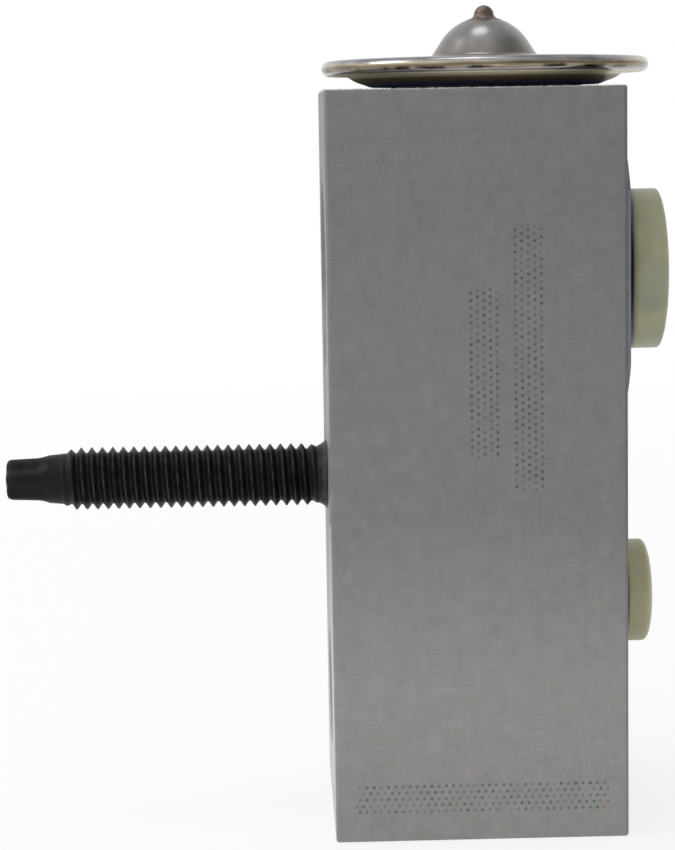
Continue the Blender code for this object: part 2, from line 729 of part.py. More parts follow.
def push_nut():
    """Conical sheet ring with a toothed hole, pressed into the mouth of the seal pocket."""
    outer = POCKET_BORE / 2 - 2 * FACE_GAP
    inner = SHAFT / 2 + RUNNING_GAP
    profile = [
        (inner, NUT_CONE + NUT_SHEET),
        (outer, NUT_SHEET),
        (outer, 0),
        (inner, NUT_CONE),
    ]
    nut = turned("push_nut", profile, MATERIALS["spring_steel"], (VALVE_X, 0, NUT_Z), closed=True)
    top = NUT_Z + NUT_CONE + NUT_SHEET
    cut_slots(nut, NUT_TEETH // 2, inner + NUT_TOOTH, NUT_SLOT, NUT_Z - OVERSHOOT, top + OVERSHOOT)


def seals():
    neck = NECK_THREAD / 2 + THREAD_GAP
    ring_seal("cover_seal", neck, COVER_SEAL_SECTION, SEAL_GROOVE_Z + FACE_GAP, LARGE_ROUND)
    ring_seal("shaft_seal", SHAFT / 2 + FACE_GAP, SHAFT_SEAL_SECTION, POCKET_Z + FACE_GAP, SMALL_ROUND)
    groove = SCREW_THREAD / 2 - SCREW_SEAL_SECTION
    ring_seal("screw_seal", groove, SCREW_SEAL_SECTION, GROOVE_Z + FACE_GAP, SMALL_ROUND)


def stud():
    """Stud seated on its flared collar: thread, plain length and lobed drive end, heights outwards."""
    thread = STUD_THREAD / 2
    core = thread - STUD_THREAD_CHAMFER
    plain = STUD_PLAIN / 2
    drive_start = STUD_REACH - STUD_DRIVE_LENGTH
    profile = [
        (0, drive_start),
        (plain - STUD_THREAD_CHAMFER, drive_start),
        (plain, drive_start - STUD_THREAD_CHAMFER),
        (plain, STUD_THREAD_END),
        (thread, STUD_THREAD_END - (thread - plain)),
        (thread, STUD_COLLAR_LENGTH + STUD_THREAD_CHAMFER),
        (core, STUD_COLLAR_LENGTH),
        (STUD_COLLAR / 2, FACE_GAP),
        (thread, FACE_GAP),
        (thread, STUD_THREAD_CHAMFER - STUD_EMBEDDED),
        (core, -STUD_EMBEDDED),
        (0, -STUD_EMBEDDED),
    ]
    body = turned("stud", profile, MATERIALS["stud"], (LINE_X, 0, 0), rotation=TO_LINE)
    drives = new_collection("stud drive", TOOLS)
    lobed_end(drive_start - OVERSHOOT, STUD_REACH, drives)
    combine(body, drives, "UNION")


def lobed_end(start, end, home):
    """The stud's drive: a six-lobed outline extruded along the stud, drawn in at the tip."""
    steps = STUD_LOBES * LOBE_STEPS
    mean = (STUD_DRIVE - STUD_LOBE_DEPTH) / 2
    build = bmesh.new()
    outline = []
    for i in range(steps):
        angle = 2 * math.pi * i / steps
        radius = mean + STUD_LOBE_DEPTH / 2 * math.cos(STUD_LOBES * angle)
        outline.append(build.verts.new((radius * math.cos(angle), radius * math.sin(angle), start)))
    face = build.faces.new(outline)
    grown = bmesh.ops.extrude_face_region(build, geom=[face])["geom"]
    top = next(item for item in grown if isinstance(item, bmesh.types.BMFace))
    bmesh.ops.translate(build, vec=(0, 0, end - start), verts=top.verts)
    bmesh.ops.recalc_face_normals(build, faces=build.faces)
    bmesh.ops.bevel(build, geom=top.edges, offset=STUD_TIP, segments=1, affect="EDGES")
    place("lobed_end", finished_mesh("lobed_end", build), None, (LINE_X, 0, 0), TO_LINE, home)


def transit_plug(name, height, seat, head, side, crown, bore):
    """Moulded plug: crowned head that stands just off the collar, hollow shank in the port."""
    radius = head / 2
    foot = seat + PLUG_GAP
    profile = []
    for i in range(CROWN_STEPS):
        share = math.sin(math.pi / 2 * i / CROWN_STEPS)
        rise = crown * (1 - share**CROWN_POWER) ** (1 / CROWN_POWER)
        profile.append((radius * share, foot + side + rise))
    shank = bore / 2 - RUNNING_GAP
    hollow = shank - PLUG_WALL
    profile += [
        (radius, foot + side),
        (radius, foot),
        (shank, foot),
        (shank, -PLUG_ENGAGEMENT + MOUTH_CHAMFER),
        (shank - MOUTH_CHAMFER, -PLUG_ENGAGEMENT),
        (hollow, -PLUG_ENGAGEMENT),
        (hollow, foot + side - PLUG_FLOOR),
        (0, foot + side - PLUG_FLOOR),
    ]
    turned(name, profile, MATERIALS["plug"], (0, 0, height), ROUND, rotation=TO_EVAPORATOR)


def plugs():
    transit_plug("suction_plug", SUCTION_Z, SUCTION_COLLAR_LIFT, SUCTION_PLUG_HEAD, SUCTION_PLUG_SIDE,
                 SUCTION_PLUG_CROWN, SUCTION_BORE)
    transit_plug("liquid_plug", OUTLET_Z, OUTLET_COLLAR_LIFT, OUTLET_PLUG_HEAD, OUTLET_PLUG_SIDE,
                 OUTLET_PLUG_CROWN, OUTLET_BORE)


clear_scene()
PARTS = new_collection("block expansion valve", bpy.context.scene.collection)
TOOLS = new_collection("tool shapes", bpy.context.scene.collection)
TOOLS.hide_render = True
MATERIALS = {
    "block": material("satin_aluminium", (0.28, 0.28, 0.28), 0.45, 1.0),
    "steel": material("stainless_sheet", (0.36, 0.35, 0.33), 0.25, 1.0),
    "charge": material("charge_plug_steel", (0.12, 0.09, 0.06), 0.45, 1.0),
    "spring_steel": material("spring_steel", (0.45, 0.45, 0.46), 0.3, 1.0),
    "brass": material("brass", (0.62, 0.48, 0.22), 0.35, 1.0),
    "shaft": material("shaft_aluminium", (0.6, 0.6, 0.61), 0.35, 1.0),
    "rubber": material("seal_rubber", (0.015, 0.015, 0.015), 0.6, 0.0),
    "stud": material("phosphated_steel", (0.012, 0.012, 0.012), 0.5, 0.6),
    "plug": material("plug_plastic", (0.22, 0.225, 0.15), 0.5, 0.0),
}

valve_block()
upper_cover()
charge_plug()
diaphragm()
lower_cover()
seals()
stop_plate()
sensing_shaft()
operating_rod()
push_nut()
valve_ball()
ball_support()
damping_spring()
valve_spring()
spring_seat()
adjusting_screw()
stud()
plugs()
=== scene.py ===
"""The dressed block expansion valve: finer pieces over the CAD part, their finishes, light and camera.

Lengths are millimetres in the part's own frame; MM turns them into Blender's metres."""

import math

import bmesh
import bpy
import numpy as np
from mathutils import Matrix, Vector

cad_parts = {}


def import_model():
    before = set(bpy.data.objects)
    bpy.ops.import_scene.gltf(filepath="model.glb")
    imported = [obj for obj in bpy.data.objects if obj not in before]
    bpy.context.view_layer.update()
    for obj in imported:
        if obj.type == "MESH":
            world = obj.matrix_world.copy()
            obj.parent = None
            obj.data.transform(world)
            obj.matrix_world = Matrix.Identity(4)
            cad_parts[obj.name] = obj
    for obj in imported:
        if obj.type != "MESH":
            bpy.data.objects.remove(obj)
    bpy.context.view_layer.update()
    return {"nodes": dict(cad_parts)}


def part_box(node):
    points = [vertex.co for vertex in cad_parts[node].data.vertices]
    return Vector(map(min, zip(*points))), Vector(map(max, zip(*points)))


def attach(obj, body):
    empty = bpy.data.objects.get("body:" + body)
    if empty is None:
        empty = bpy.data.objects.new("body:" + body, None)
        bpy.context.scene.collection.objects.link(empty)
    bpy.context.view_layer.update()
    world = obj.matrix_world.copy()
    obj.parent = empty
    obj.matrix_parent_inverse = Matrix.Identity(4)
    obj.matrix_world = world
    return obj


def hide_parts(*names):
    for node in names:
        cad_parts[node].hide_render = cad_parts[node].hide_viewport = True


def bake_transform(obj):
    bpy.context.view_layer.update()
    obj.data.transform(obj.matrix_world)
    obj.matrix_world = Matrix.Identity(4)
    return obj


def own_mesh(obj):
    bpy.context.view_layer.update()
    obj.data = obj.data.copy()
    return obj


MM = 0.001
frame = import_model()

# Places that repeat the CAD part's
VALVE_X = -11.5
LINE_X = -26.9
FRONT_Y = -14.0
REAR_Y = 14.0
BASE_Z = -32.2
TOP_Z = 36.2
SUCTION_Z = 19.1
OUTLET_Z = -11.9
INLET_Z = -20.7
RIM_Z = 38.28
SPRING_FOOT_Z = -25.625
SPRING_TOP_Z = -20.495

# How far the raised pad and the turned collars stand out of the evaporator side
PAD_LIFT = 0.3
SUCTION_LIFT = 1.05
OUTLET_LIFT = 1.3

# The chamfer at a bore's mouth, and how far the cutting tools reach out of the block
MOUTH = 0.3
PAST = 1.0

# The valve spring's wire and turns, with a closed turn at each end
WIRE_RADIUS = 0.35
COIL_RADIUS = 3.7
OPEN_PITCH = 1.3
CLOSED_PITCH = 0.8
OPEN_TURNS = (SPRING_TOP_Z - SPRING_FOOT_Z - 2 * WIRE_RADIUS - 2 * CLOSED_PITCH) / OPEN_PITCH

# Two directions across and one along, for a piece that is turned about each axis
AXES = {
    "z": (Vector((1, 0, 0)), Vector((0, 1, 0)), Vector((0, 0, 1))),
    "x": (Vector((0, 1, 0)), Vector((0, 0, 1)), Vector((1, 0, 0))),
    "-x": (Vector((0, 0, 1)), Vector((0, 1, 0)), Vector((-1, 0, 0))),
}


# Mesh helpers


def shade(obj, sharp):
    obj.data.shade_smooth()
    obj.data.set_sharp_from_angle(angle=math.radians(sharp))


def from_bmesh(name, build, sharp=35):
    bmesh.ops.recalc_face_normals(build, faces=build.faces)
    mesh = bpy.data.meshes.new(name)
    build.to_mesh(mesh)
    build.free()
    obj = bpy.data.objects.new(name, mesh)
    bpy.context.scene.collection.objects.link(obj)
    shade(obj, sharp)
    return obj


def weighted(obj):
    """Keeps large flat faces flat next to rounded edges."""
    step = obj.modifiers.new("Shading", "WEIGHTED_NORMAL")
    step.keep_sharp = True
    step.weight = 90


def grid_mesh(name, rings, sharp):
    """A tube through rings of points, closed at both ends."""
    build = bmesh.new()
    made = [[build.verts.new(Vector(p) * MM) for p in ring] for ring in rings]
    count = len(made[0])
    for a, b in zip(made, made[1:]):
        for i in range(count):
            j = (i + 1) % count
            build.faces.new((a[i], a[j], b[j], b[i]))
    build.faces.new(made[0])
    build.faces.new(made[-1])
    return from_bmesh(name, build, sharp)


def lathe(name, profile, centre, axis="z", segments=96, closed=False, sharp=35, turn=0.0, shift=None):
    """A piece turned from (radius, height) points. shift bends a (radius, height, angle) point a little."""
    u, v, w = AXES[axis]
    build = bmesh.new()
    rings = []
    for radius, height in profile:
        if radius < 1e-6:
            rings.append([build.verts.new((Vector(centre) + w * height) * MM)])
            continue
        ring = []
        for i in range(segments):
            angle = 2 * math.pi * i / segments + turn
            r, h = shift(radius, height, angle) if shift else (radius, height)
            point = Vector(centre) + w * h + (u * math.cos(angle) + v * math.sin(angle)) * r
            ring.append(build.verts.new(point * MM))
        rings.append(ring)
    pairs = list(zip(rings, rings[1:]))
    if closed:
        pairs.append((rings[-1], rings[0]))
    for a, b in pairs:
        for i in range(segments):
            j = (i + 1) % segments
            corners = [a[i % len(a)], a[j % len(a)], b[j % len(b)], b[i % len(b)]]
            corners = [c for k, c in enumerate(corners) if c not in corners[:k]]
            if len(corners) > 2:
                build.faces.new(corners)
    return from_bmesh(name, build, sharp)


def arc(centre, radius, start, end, steps):
    """Points of a profile on an arc, its angles counted from straight up."""
    angles = [start + (end - start) * i / steps for i in range(steps + 1)]
    return [(centre[0] + radius * math.sin(a), centre[1] + radius * math.cos(a)) for a in angles]


def s_curve(start, end, steps):
    """Points of a profile that leave start and reach end level."""
    (x0, y0), (x1, y1) = start, end
    shares = [i / steps for i in range(steps + 1)]
    return [(x0 + (x1 - x0) * s, y0 + (y1 - y0) * (1 - math.cos(math.pi * s)) / 2) for s in shares]


def cuboid(low, high):
    """A box between two corners, still open to edits."""
    size = [(high[i] - low[i]) * MM for i in range(3)]
    middle = [(high[i] + low[i]) / 2 * MM for i in range(3)]
    build = bmesh.new()
    bmesh.ops.create_cube(build, size=1.0)
    matrix = Matrix.Translation(middle) @ Matrix.Diagonal((*size, 1.0))
    bmesh.ops.transform(build, matrix=matrix, verts=build.verts)
    return build


def cut(obj, tools, operation="DIFFERENCE"):
    """Applies a boolean with the tool objects and removes them."""
    home = bpy.data.collections.new(obj.name + "_tools")
    for tool in tools:
        home.objects.link(tool)
    step = obj.modifiers.new("Cut", "BOOLEAN")
    step.operation = operation
    step.operand_type = "COLLECTION"
    step.collection = home
    mesh = bpy.data.meshes.new_from_object(obj.evaluated_get(bpy.context.evaluated_depsgraph_get()))
    obj.modifiers.clear()
    obj.data = mesh
    for tool in tools:
        bpy.data.objects.remove(tool, do_unlink=True)
    bpy.data.collections.remove(home)


def smooth_copy(node):
    """A CAD node's own shape with its facets shaded smooth."""
    build = bmesh.new()
    build.from_mesh(frame["nodes"][node].data)
    bmesh.ops.remove_doubles(build, verts=build.verts, dist=2e-7)
    return from_bmesh(node + "_smooth", build, sharp=38)


def dress(obj, body, finish, slot, *nodes):
    """Gives a piece its finish, the body that it rides on and the CAD nodes that it stands for."""
    obj.data.materials.clear()
    obj.data.materials.append(finish)
    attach(obj, body)
    if nodes:
        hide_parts(*nodes)


# Finishes


def rgba(colour):
    """A plain colour with its alpha. A node's output stays as it is."""
    return (*colour, 1.0) if isinstance(colour, tuple) else colour


class Nodes:
    """Short ways to add nodes to one tree and join them. A value is a number or a node's output."""

    def __init__(self, tree):
        self.tree = tree

    def add(self, kind, **settings):
        node = self.tree.nodes.new(kind)
        for key, value in settings.items():
            setattr(node, key, value)
        return node

    def put(self, value, socket):
        if isinstance(value, bpy.types.NodeSocket):
            self.tree.links.new(value, socket)
        else:
            socket.default_value = value

    def math(self, operation, *values):
        node = self.add("ShaderNodeMath", operation=operation)
        for value, socket in zip(values, node.inputs):
            self.put(value, socket)
        return node.outputs[0]

    def times(self, *values):
        """Values multiplied together, such as masks that all have to hold."""
        made = values[0]
        for value in values[1:]:
            made = self.math("MULTIPLY", made, value)
        return made

    def ramp(self, value, low, high, to_low=0.0, to_high=1.0, smooth=False):
        node = self.add("ShaderNodeMapRange", interpolation_type="SMOOTHSTEP" if smooth else "LINEAR")
        for given, socket in zip((value, low, high, to_low, to_high), node.inputs):
            self.put(given, socket)
        return node.outputs[0]

    def measure(self, operation, first, second=(0, 0, 0)):
        """A number from vectors, such as a length or a dot product."""
        node = self.add("ShaderNodeVectorMath", operation=operation)
        self.put(first, node.inputs[0])
        self.put(second, node.inputs[1])
        return node.outputs["Value"]


class Finish(Nodes):
    """One procedural material. Pattern sizes are in millimetres."""

    def __init__(self, name, metallic=0.0):
        self.material = bpy.data.materials.new(name)
        self.material.use_nodes = True
        super().__init__(self.material.node_tree)
        self.shader = self.tree.nodes["Principled BSDF"]
        self.shader.inputs["Metallic"].default_value = metallic
        self.place = self.add("ShaderNodeTexCoord").outputs["Object"]
        self.height = None

    def axes(self):
        """The point's X, Y and Z in millimetres."""
        node = self.add("ShaderNodeSeparateXYZ")
        self.put(self.place, node.inputs[0])
        return [self.math("DIVIDE", out, MM) for out in node.outputs]

    def noise(self, size, detail=3.0, stretch=(1, 1, 1), seed=0.0, roughness=0.55):
        """Noise from 0 to 1 with features about size long."""
        mapping = self.add("ShaderNodeMapping")
        self.put(self.place, mapping.inputs["Vector"])
        mapping.inputs["Scale"].default_value = [1 / (size * MM * s) for s in stretch]
        mapping.inputs["Location"].default_value = (seed, seed * 0.7, seed * 1.3)
        node = self.add("ShaderNodeTexNoise")
        self.put(mapping.outputs[0], node.inputs["Vector"])
        node.inputs["Scale"].default_value = 1.0
        node.inputs["Detail"].default_value = detail
        node.inputs["Roughness"].default_value = roughness
        return node.outputs[0]

    def beside(self, value, place, full, none):
        """A mask that is 1 up to place + full and falls to 0 at place + none."""
        return self.ramp(value, place + full, place + none, 1.0, 0.0)

    def between(self, value, low, high, soft=0.05):
        """A mask that is 1 from low to high."""
        return self.times(self.ramp(value, low - soft, low + soft), self.beside(value, high, -soft, soft))

    def factor(self, mask, amount):
        """A factor of 1 where a mask is 0 and of 1 + amount where it is 1."""
        return self.math("MULTIPLY_ADD", mask, amount, 1.0)

    def mix(self, share, first, second):
        node = self.add("ShaderNodeMix", data_type="RGBA")
        self.put(share, node.inputs[0])
        self.put(rgba(first), node.inputs[6])
        self.put(rgba(second), node.inputs[7])
        return node.outputs[2]

    def scaled(self, colour, share):
        """A colour made lighter or darker by a factor around 1."""
        node = self.add("ShaderNodeVectorMath", operation="SCALE")
        self.put(colour, node.inputs[0])
        self.put(share, node.inputs["Scale"])
        return node.outputs[0]

    def radius(self, a, b, a0=0.0, b0=0.0):
        first = self.math("POWER", self.math("SUBTRACT", a, a0), 2.0)
        second = self.math("POWER", self.math("SUBTRACT", b, b0), 2.0)
        return self.math("SQRT", self.math("ADD", first, second))

    def ripple(self, along, pitch):
        """A wave from 0 to 1 along a length."""
        return self.math("MULTIPLY_ADD", self.math("SINE", self.times(along, 2 * math.pi / pitch)), 0.5, 0.5)

    def raise_by(self, value, depth):
        """Adds to the bump's height, depth mm for a value of 1."""
        part = self.times(value, depth)
        self.height = part if self.height is None else self.math("ADD", self.height, part)

    def done(self, colour, roughness):
        self.put(rgba(colour), self.shader.inputs["Base Color"])
        self.put(roughness, self.shader.inputs["Roughness"])
        if self.height is not None:
            bump = self.add("ShaderNodeBump")
            bump.inputs["Strength"].default_value = 1.0
            bump.inputs["Distance"].default_value = MM
            self.put(self.height, bump.inputs["Height"])
            self.put(bump.outputs[0], self.shader.inputs["Normal"])
        return self.material


def peened_band(f, along, across, start, end, middle):
    """Plain staggered rows of punched dots: a mask that is 1 in a dot."""
    pitch, row, half_width = 0.66, 0.58, 1.4
    line = f.math("DIVIDE", f.math("SUBTRACT", across, middle), row)
    index = f.math("ROUND", line)
    off_line = f.times(f.math("SUBTRACT", line, index), row)
    step = f.math("DIVIDE", f.math("SUBTRACT", along, start + pitch / 2), pitch)
    step = f.math("ADD", step, f.times(index, 0.5))
    off_step = f.times(f.math("SUBTRACT", step, f.math("ROUND", step)), pitch)
    dot = f.ramp(f.radius(off_line, off_step), 0.09, 0.17, 1.0, 0.0, smooth=True)
    rows = f.between(across, middle - half_width, middle + half_width, 0.01)
    return f.times(f.between(along, start, end, 0.01), rows, dot)


def block_finish():
    """Sawn and milled aluminium with plain punched dots on its front, and painted light that makes it lighter
    low down and on the line face.
    """
    f = Finish("block_aluminium", 1.0)
    x, y, z = f.axes()
    patches = f.noise(1.6, detail=4.0, roughness=0.6)
    tint = f.noise(0.9, detail=2.0, seed=31)
    cool = f.noise(1.1, detail=3.0, stretch=(1.6, 1.6, 1), seed=43)
    grain = f.noise(0.22, detail=3.0, seed=7, roughness=0.7)
    level_lines = f.noise(0.16, detail=2.0, stretch=(22, 22, 1), seed=3)
    upright_lines = f.noise(0.16, detail=2.0, stretch=(1, 22, 22), seed=5)
    specks = f.noise(0.42, detail=1.0, seed=19)
    colour = f.mix(f.ramp(tint, 0.4, 0.6), (0.236, 0.244, 0.228), (0.26, 0.244, 0.246))
    colour = f.mix(f.ramp(cool, 0.45, 0.62, 0.0, 0.75), colour, (0.243, 0.247, 0.26))
    front = f.beside(y, FRONT_Y, 0.03, 0.07)
    line_face = f.beside(x, LINE_X, 0.02, 0.06)

    # rows left by the saw on top and base, turned rings on the pad and collars, strokes of a cutter
    ends = f.math("MAXIMUM", f.beside(z, TOP_Z, -0.03, -0.1), f.beside(z, BASE_Z, 0.03, 0.1))
    rows = f.times(ends, f.ripple(x, 0.29))
    rings = f.times(f.beside(x, PAD_LIFT, -0.03, -0.1), f.ripple(f.radius(y, z, 0.0, SUCTION_Z), 0.16))
    milled = f.times(line_face, f.between(z, -26.6, 28.8, 0.8), f.ramp(y, -3.2, -1.8))
    strokes = f.times(line_face, f.ripple(f.radius(y, z, -30.0, 2.0), 0.42))

    # a painted sheen: seen along its surface the line face is lighter still, most of all low down
    painted_grazing_sheen = f.ramp(f.add("ShaderNodeLayerWeight").outputs["Facing"], 0.9, 0.975)
    painted_grazing_sheen = f.times(line_face, painted_grazing_sheen, f.ramp(z, 36.0, -15.0, 0.1, 1.0))

    # rubbed edges are a little brighter
    rubbed = f.math("MAXIMUM", f.beside(z, TOP_Z, -0.1, -0.45), f.beside(x, LINE_X, 0.05, 0.3))
    worn = f.ramp(f.noise(0.8, seed=13), 0.4, 0.6, 0.3, 1.0)
    rubbed = f.times(rubbed, worn, f.beside(y, FRONT_Y, 0.1, 0.4))

    # painted reflection and shade: the pad's rim gets a darker bluish painted reflection, the turned collars
    # a dark bluish painted shade and the front right-hand edge a brownish painted shade
    pad_rim_reflection = f.times(f.ramp(x, 0.01, 0.04), f.beside(x, PAD_LIFT, -0.03, 0.0))
    colour = f.mix(f.times(pad_rim_reflection, 0.6), colour, (0.17, 0.21, 0.3))
    collars = f.ramp(x, PAD_LIFT + 0.01, PAD_LIFT + 0.06)
    colour = f.mix(f.times(collars, 0.8), colour, (0.05, 0.055, 0.085))
    right_edge_shade = f.times(f.ramp(x, -0.3, -0.2), f.beside(x, 0.0, 0.0, 0.02), f.beside(y, FRONT_Y, 0.2, 0.4))
    colour = f.mix(f.times(right_edge_shade, 0.45), colour, (0.2, 0.18, 0.17))

    # faint cast ring and level scribes on the front, and plain punched dots
    ring = f.between(f.radius(x, z, -19.3, 26.6), 1.1, 1.35, 0.12)
    scribes = f.math("SUBTRACT", f.between(z, 31.6, 31.66), f.between(z, 31.42, 31.48))
    dots = peened_band(f, z, x, 3.2, 18.4, -12.9)
    dots = f.math("MAXIMUM", dots, peened_band(f, z, x, 0.2, 23.9, -8.9))
    dots = f.math("MAXIMUM", dots, peened_band(f, x, z, -25.0, -1.8, -28.2))
    dots = f.times(front, dots)
    faded = f.times(dots, f.ramp(f.noise(0.9, detail=2.0, seed=27), 0.35, 0.6, 0.1, 1.0))

    value = f.times(
        f.ramp(patches, 0.3, 0.7, 0.94, 1.05),
        f.ramp(grain, 0.3, 0.7, 0.915, 1.075),
        f.ramp(level_lines, 0.3, 0.7, 0.965, 1.03),
        f.ramp(upright_lines, 0.3, 0.7, 0.975, 1.02),
        f.ramp(specks, 0.71, 0.76, 1.0, 0.78),
        # painted light: a little lighter in the top band, much lighter low down and a little darker again at
        # the base, and lighter on the line face, most of all low down
        f.ramp(z, 35.0, 27.0, 0.98, 0.92),
        f.ramp(z, -2.0, -18.0, 1.0, 1.36),
        f.ramp(z, -21.0, BASE_Z, 1.0, 0.93),
        f.factor(f.times(line_face, f.ramp(z, 32.0, -25.0)), 0.48),
        f.factor(painted_grazing_sheen, 0.3),
        f.factor(milled, -0.18),
        f.factor(rings, 0.12),
        f.factor(rubbed, 0.12),
        f.factor(f.times(front, ring), -0.05),
        f.factor(f.times(front, scribes), 0.07),
        f.factor(faded, -0.5),
    )
    for pattern, depth in (
        (dots, -0.035), (rows, 0.02), (rings, 0.008), (strokes, 0.006),
        (grain, 0.012), (patches, 0.02), (level_lines, 0.004),
    ):
        f.raise_by(pattern, depth)
    return f.done(f.scaled(colour, value), f.ramp(grain, 0.3, 0.7, 0.46, 0.58))


def burr_finish():
    f = Finish("burr_aluminium", 1.0)
    grain = f.noise(0.3, detail=2.0)
    # a painted highlight: the teeth are much lighter than the block's own aluminium, as their tips catch the
    # light
    colour = f.mix(f.ramp(grain, 0.35, 0.65), (0.5, 0.5, 0.5), (0.68, 0.68, 0.69))
    f.raise_by(grain, 0.02)
    return f.done(colour, f.ramp(grain, 0.3, 0.7, 0.25, 0.4))


def head_finish():
    """Polished sheet, tinted by the weld along the rim, with painted reflections and shade on the dome, rim
    and lower cover. Its heights are counted from the rim's middle.
    """
    f = Finish("head_steel", 1.0)
    x, y, z = f.axes()
    lift = f.math("SUBTRACT", z, RIM_Z)
    reach = f.radius(x, y, VALVE_X, 0.0)
    smudge = f.noise(2.2, detail=3.0)
    fine = f.noise(0.25, detail=2.0, seed=4)
    spun = f.ripple(f.math("MULTIPLY_ADD", smudge, 0.2, reach), 0.11)
    dome_top = f.ramp(lift, 1.72, 2.72)
    colour = f.mix(f.ramp(smudge, 0.35, 0.65), (0.22, 0.216, 0.212), (0.27, 0.262, 0.252))
    # around the charge hole the dome top is darker, partly heat tint and partly a painted dark reflection
    heat_tint_and_reflection = f.times(f.ramp(reach, 1.6, 3.4, 1.0, 0.0, smooth=True), dome_top)
    colour = f.mix(f.times(heat_tint_and_reflection, 0.7), colour, (0.12, 0.11, 0.1))
    # painted shade: the dome is darker round its lower flank and foot, where it bends into the flat
    foot = f.times(f.ramp(reach, 3.9, 4.7), f.ramp(reach, 4.9, 5.8, 1.0, 0.0))
    colour = f.mix(f.times(foot, 0.5), colour, (0.16, 0.14, 0.12))

    # the weld's heat left bands of straw, brown and blue round the rim; the bands are partly that heat tint
    # and partly painted reflection, and the dark blotches in them are a painted dark reflection
    rim = f.ramp(reach, 14.2, 14.6)
    level = f.math("ADD", lift, f.ramp(f.noise(4.0, detail=2.0, seed=2), 0.3, 0.7, -0.09, 0.09))
    blotches = f.ramp(f.noise(3.0, detail=2.0, seed=17), 0.45, 0.56)
    painted_dark_blotches = f.mix(blotches, (0.035, 0.025, 0.025), (0.26, 0.22, 0.17))
    tint = (0.13, 0.1, 0.06)
    for low, high, band in (
        (-0.93, -0.78, (0.4, 0.36, 0.24)),
        (-0.68, -0.56, (0.32, 0.32, 0.34)),
        (-0.44, -0.35, painted_dark_blotches),
        (-0.2, -0.02, (0.2, 0.16, 0.1)),
        (0.02, 0.2, (0.43, 0.385, 0.3)),
        (0.32, 0.44, (0.3, 0.3, 0.33)),
        (0.48, 0.6, (0.2, 0.19, 0.2)),
    ):
        tint = f.mix(f.ramp(level, low, high), tint, band)
    colour = f.mix(rim, colour, f.scaled(tint, f.ramp(smudge, 0.3, 0.7, 0.85, 1.15)))
    brown = f.times(f.ramp(reach, 1.5, 2.6, 1.0, 0.0), dome_top)
    colour = f.mix(f.times(brown, 0.75), colour, (0.13, 0.1, 0.07))

    # the lower cover's outside has a dull oxide, blue next to the block and straw next to the rim; these
    # colours are partly heat tint and partly painted reflection and shade, the pale straw standing in for
    # reflected light and the blue for the dark block below, so the metal is made less metallic there
    under = f.times(f.ramp(lift, -0.68, -0.56, 1.0, 0.0), f.ramp(reach, 8.1, 8.3))
    oxide = f.mix(f.ramp(lift, -1.68, -1.33), (0.1, 0.14, 0.34), (0.2, 0.152, 0.09))
    oxide = f.mix(f.ramp(lift, -1.06, -0.78), oxide, (0.9, 0.82, 0.6))
    colour = f.mix(under, colour, oxide)
    f.put(f.factor(under, -0.75), f.shader.inputs["Metallic"])
    f.raise_by(f.times(spun, f.math("SUBTRACT", 1.0, under)), 0.0012)
    f.raise_by(fine, 0.0015)
    roughness = f.ramp(smudge, 0.3, 0.7, 0.22, 0.3)
    roughness = f.math("ADD", roughness, f.times(rim, -0.1))
    roughness = f.math("ADD", roughness, f.times(under, 0.25))
    return f.done(colour, roughness)


def nub_finish():
    f = Finish("nub_oxide", 1.0)
    patch = f.noise(0.7, detail=4.0)
    colour = f.mix(f.ramp(patch, 0.35, 0.65), (0.085, 0.06, 0.045), (0.2, 0.165, 0.14))
    f.raise_by(patch, 0.04)
    return f.done(colour, f.ramp(patch, 0.3, 0.7, 0.35, 0.55))


def stud_finish():
    """Oiled black phosphate, rubbed to dull steel on the crests, which also carry a painted glint, with a
    painted highlight on the flare by the block.
    """
    f = Finish("stud_phosphate", 0.1)
    f.shader.inputs["Specular IOR Level"].default_value = 0.15
    x, y, z = f.axes()
    grain = f.noise(0.12, detail=3.0)
    patch = f.noise(1.2, detail=2.0, seed=9)
    colour = f.mix(f.ramp(patch, 0.35, 0.65), (0.006, 0.0058, 0.006), (0.012, 0.0122, 0.0115))
    # lighter crests: partly wear to dull steel and partly a painted glint
    worn = f.times(f.ramp(f.radius(y, z), 2.9, 2.945), f.ramp(f.noise(0.9, seed=21), 0.4, 0.65))
    colour = f.mix(f.times(worn, 0.55), colour, (0.09, 0.082, 0.075))
    # a painted highlight: lighter grey patches on the flare next to the block
    flare = f.times(f.ramp(x, -28.0, -27.2), f.ramp(patch, 0.4, 0.6))
    colour = f.mix(f.times(flare, 0.5), colour, (0.05, 0.05, 0.052))
    f.raise_by(grain, 0.012)
    return f.done(colour, f.ramp(grain, 0.3, 0.7, 0.38, 0.55))


